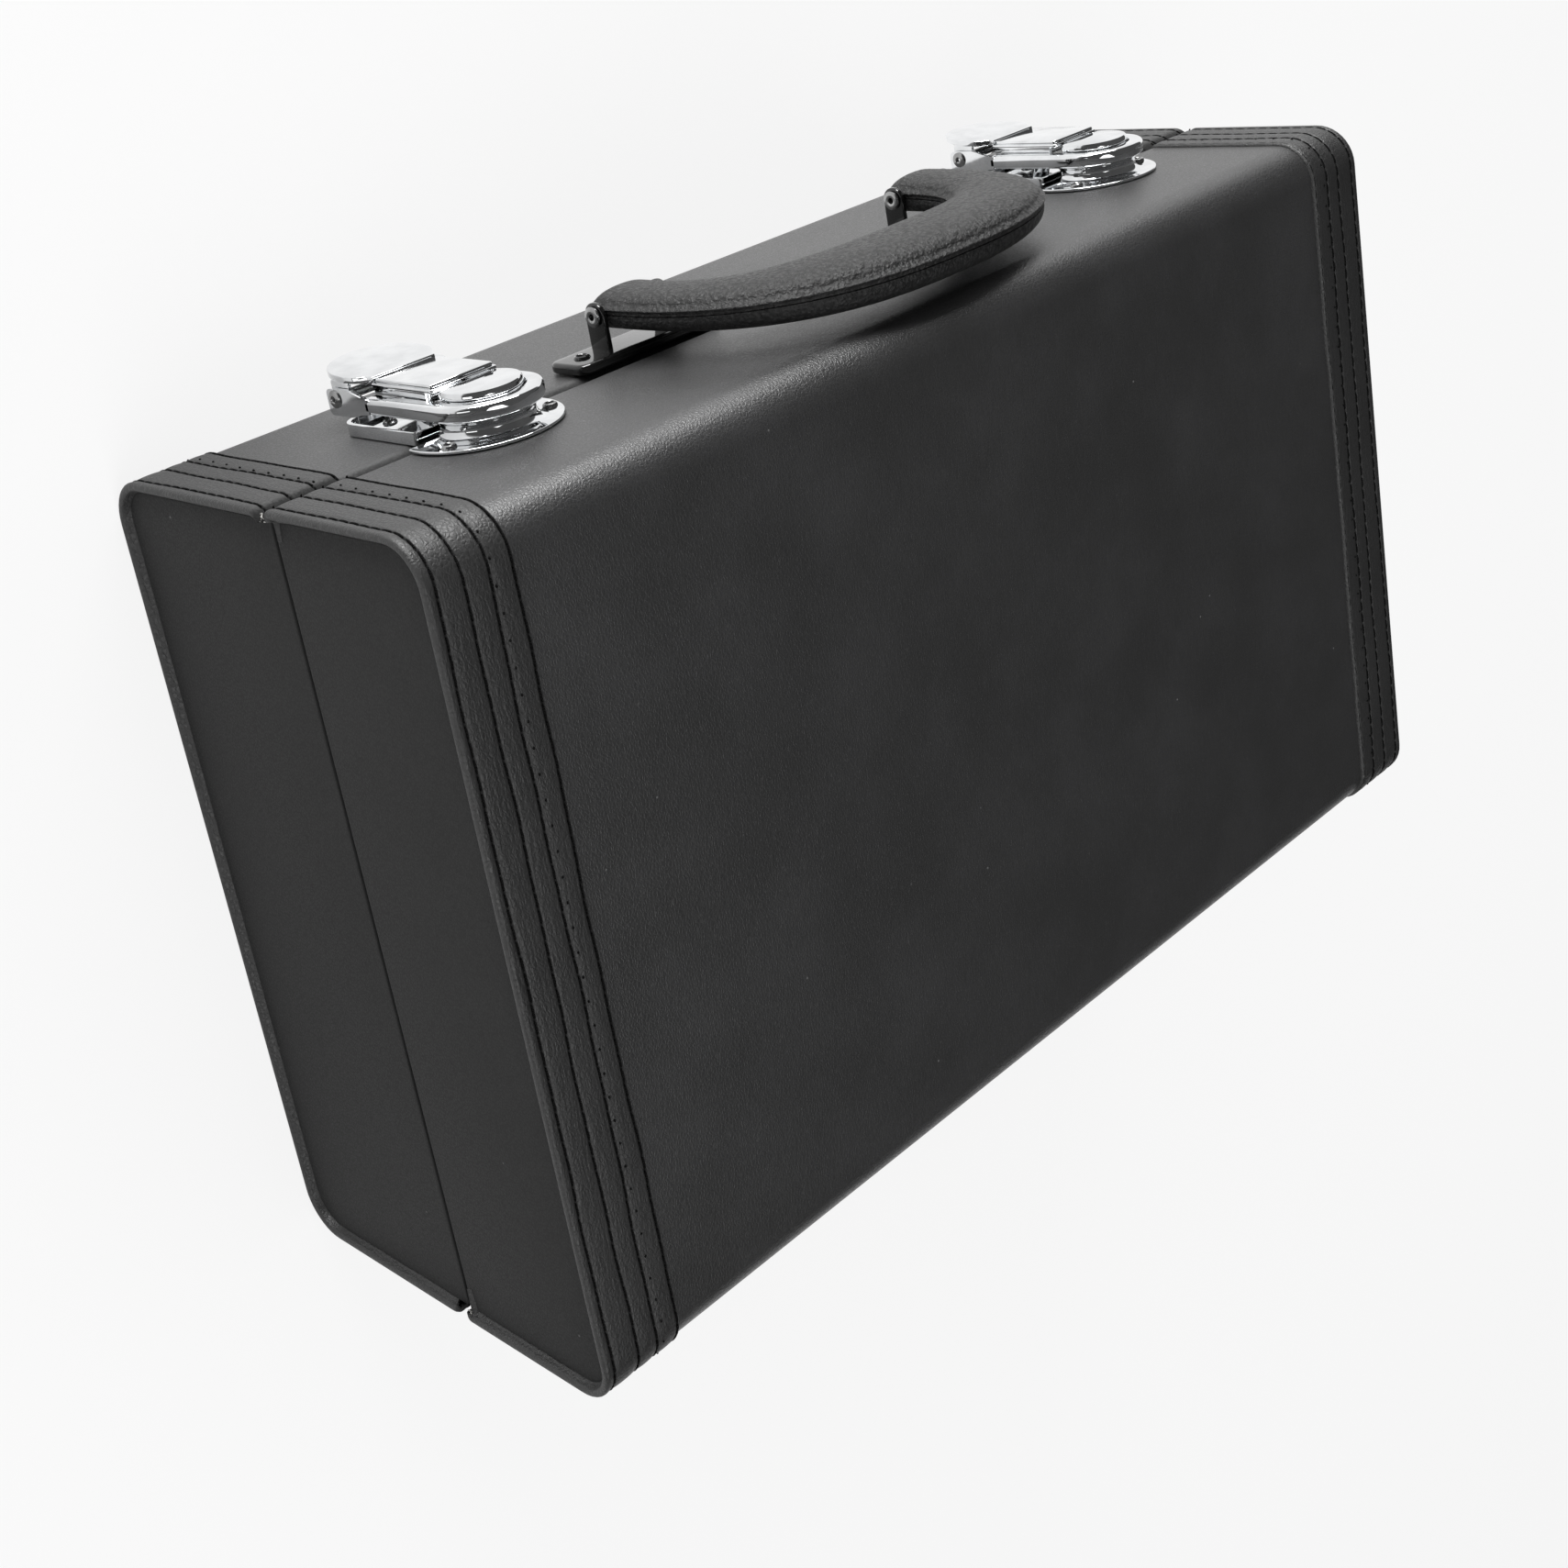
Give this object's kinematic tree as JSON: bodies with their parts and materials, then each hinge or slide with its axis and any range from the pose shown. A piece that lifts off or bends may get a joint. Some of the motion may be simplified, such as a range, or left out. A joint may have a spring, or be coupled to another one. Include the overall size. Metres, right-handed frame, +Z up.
{
  "type": "clarinet case",
  "caption": "Oblong leatherette-covered case with a hinged lid, draw latches, a swinging carrying handle and a plush interior with recesses for a taken-apart clarinet.",
  "frame": {"origin": "on the surface it stands on, under the middle of the whole object's box", "axes": "+Z up from the base to the lid, +X along the length, the handle and latches on the -Y side, the hinges on the +Y side"},
  "size_m": [0.362, 0.242, 0.126],
  "materials": {
    "plywood": "raw",
    "leatherette": "fine grain, satin",
    "band_leatherette": "grained, stitched, satin",
    "end_leatherette": "smooth, matte",
    "plush": "short pile",
    "chrome": "polished",
    "rivet_steel": "nickel plated",
    "black_lacquer": "gloss",
    "grip_plastic": "pebble grain"
  },
  "bodies": {
    "base": {"base_box": "plywood", "base_cover": "leatherette", "base_insert": "plush", "base_band_left": "band_leatherette", "base_band_right": "band_leatherette", "base_end_panel_left": "end_leatherette", "base_end_panel_right": "end_leatherette", "hinge_base_leaf_left": "rivet_steel", "hinge_base_leaf_right": "rivet_steel", "hinge_pin_left": "rivet_steel", "hinge_pin_right": "rivet_steel", "latch_pan_left": "chrome", "latch_pan_right": "chrome", "lever_pin_left": "rivet_steel", "lever_pin_right": "rivet_steel", "pan_rivet_left_a": "rivet_steel", "pan_rivet_left_b": "rivet_steel", "pan_rivet_right_a": "rivet_steel", "pan_rivet_right_b": "rivet_steel", "handle_bracket_left": "black_lacquer", "handle_bracket_right": "black_lacquer", "handle_pin_left": "black_lacquer", "handle_pin_right": "black_lacquer", "bracket_rivet_left_a": "black_lacquer", "bracket_rivet_left_b": "black_lacquer", "bracket_rivet_right_a": "black_lacquer", "bracket_rivet_right_b": "black_lacquer"},
    "lid": {"lid_box": "plywood", "lid_cover": "leatherette", "lid_pad": "plush", "lid_band_left": "band_leatherette", "lid_band_right": "band_leatherette", "lid_end_panel_left": "end_leatherette", "lid_end_panel_right": "end_leatherette", "hinge_lid_leaf_left": "rivet_steel", "hinge_lid_leaf_right": "rivet_steel", "keeper_left": "chrome", "keeper_right": "chrome", "keeper_rivet_left_a": "rivet_steel", "keeper_rivet_left_b": "rivet_steel", "keeper_rivet_right_a": "rivet_steel", "keeper_rivet_right_b": "rivet_steel"},
    "handle": {"handle_upper_shell": "grip_plastic", "handle_lower_shell": "grip_plastic"},
    "lever_left": {"latch_lever_left": "chrome"},
    "link_left": {"latch_link_left": "chrome", "link_pin_left": "rivet_steel"},
    "lever_right": {"latch_lever_right": "chrome"},
    "link_right": {"latch_link_right": "chrome", "link_pin_right": "rivet_steel"}
  },
  "joints": [
    {"name": "lid_hinge", "type": "hinge", "parent": "base", "child": "lid", "pos_m": [0, 0.11841, 0.069], "axis": [-1, 0, 0], "range_deg": [0, 105]},
    {"name": "handle_hinge", "type": "hinge", "parent": "base", "child": "handle", "pos_m": [0, -0.11429, 0.06], "axis": [1, 0, 0], "range_deg": [0, 170]},
    {"name": "lever_hinge_left", "type": "hinge", "parent": "base", "child": "lever_left", "pos_m": [-0.12, -0.11229, 0.0645], "axis": [-1, 0, 0], "range_deg": [0, 110]},
    {"name": "link_hinge_left", "type": "hinge", "parent": "lever_left", "child": "link_left", "pos_m": [-0.12, -0.11159, 0.036], "axis": [1, 0, 0], "range_deg": [0, 121]},
    {"name": "lever_hinge_right", "type": "hinge", "parent": "base", "child": "lever_right", "pos_m": [0.12, -0.11229, 0.0645], "axis": [-1, 0, 0], "range_deg": [0, 110]},
    {"name": "link_hinge_right", "type": "hinge", "parent": "lever_right", "child": "link_right", "pos_m": [0.12, -0.11159, 0.036], "axis": [1, 0, 0], "range_deg": [0, 121]}
  ],
  "couplings": [
    {"joint": "link_hinge_left", "follows": "lever_hinge_left", "ratio": 1.1},
    {"joint": "link_hinge_right", "follows": "lever_hinge_right", "ratio": 1.1}
  ]
}
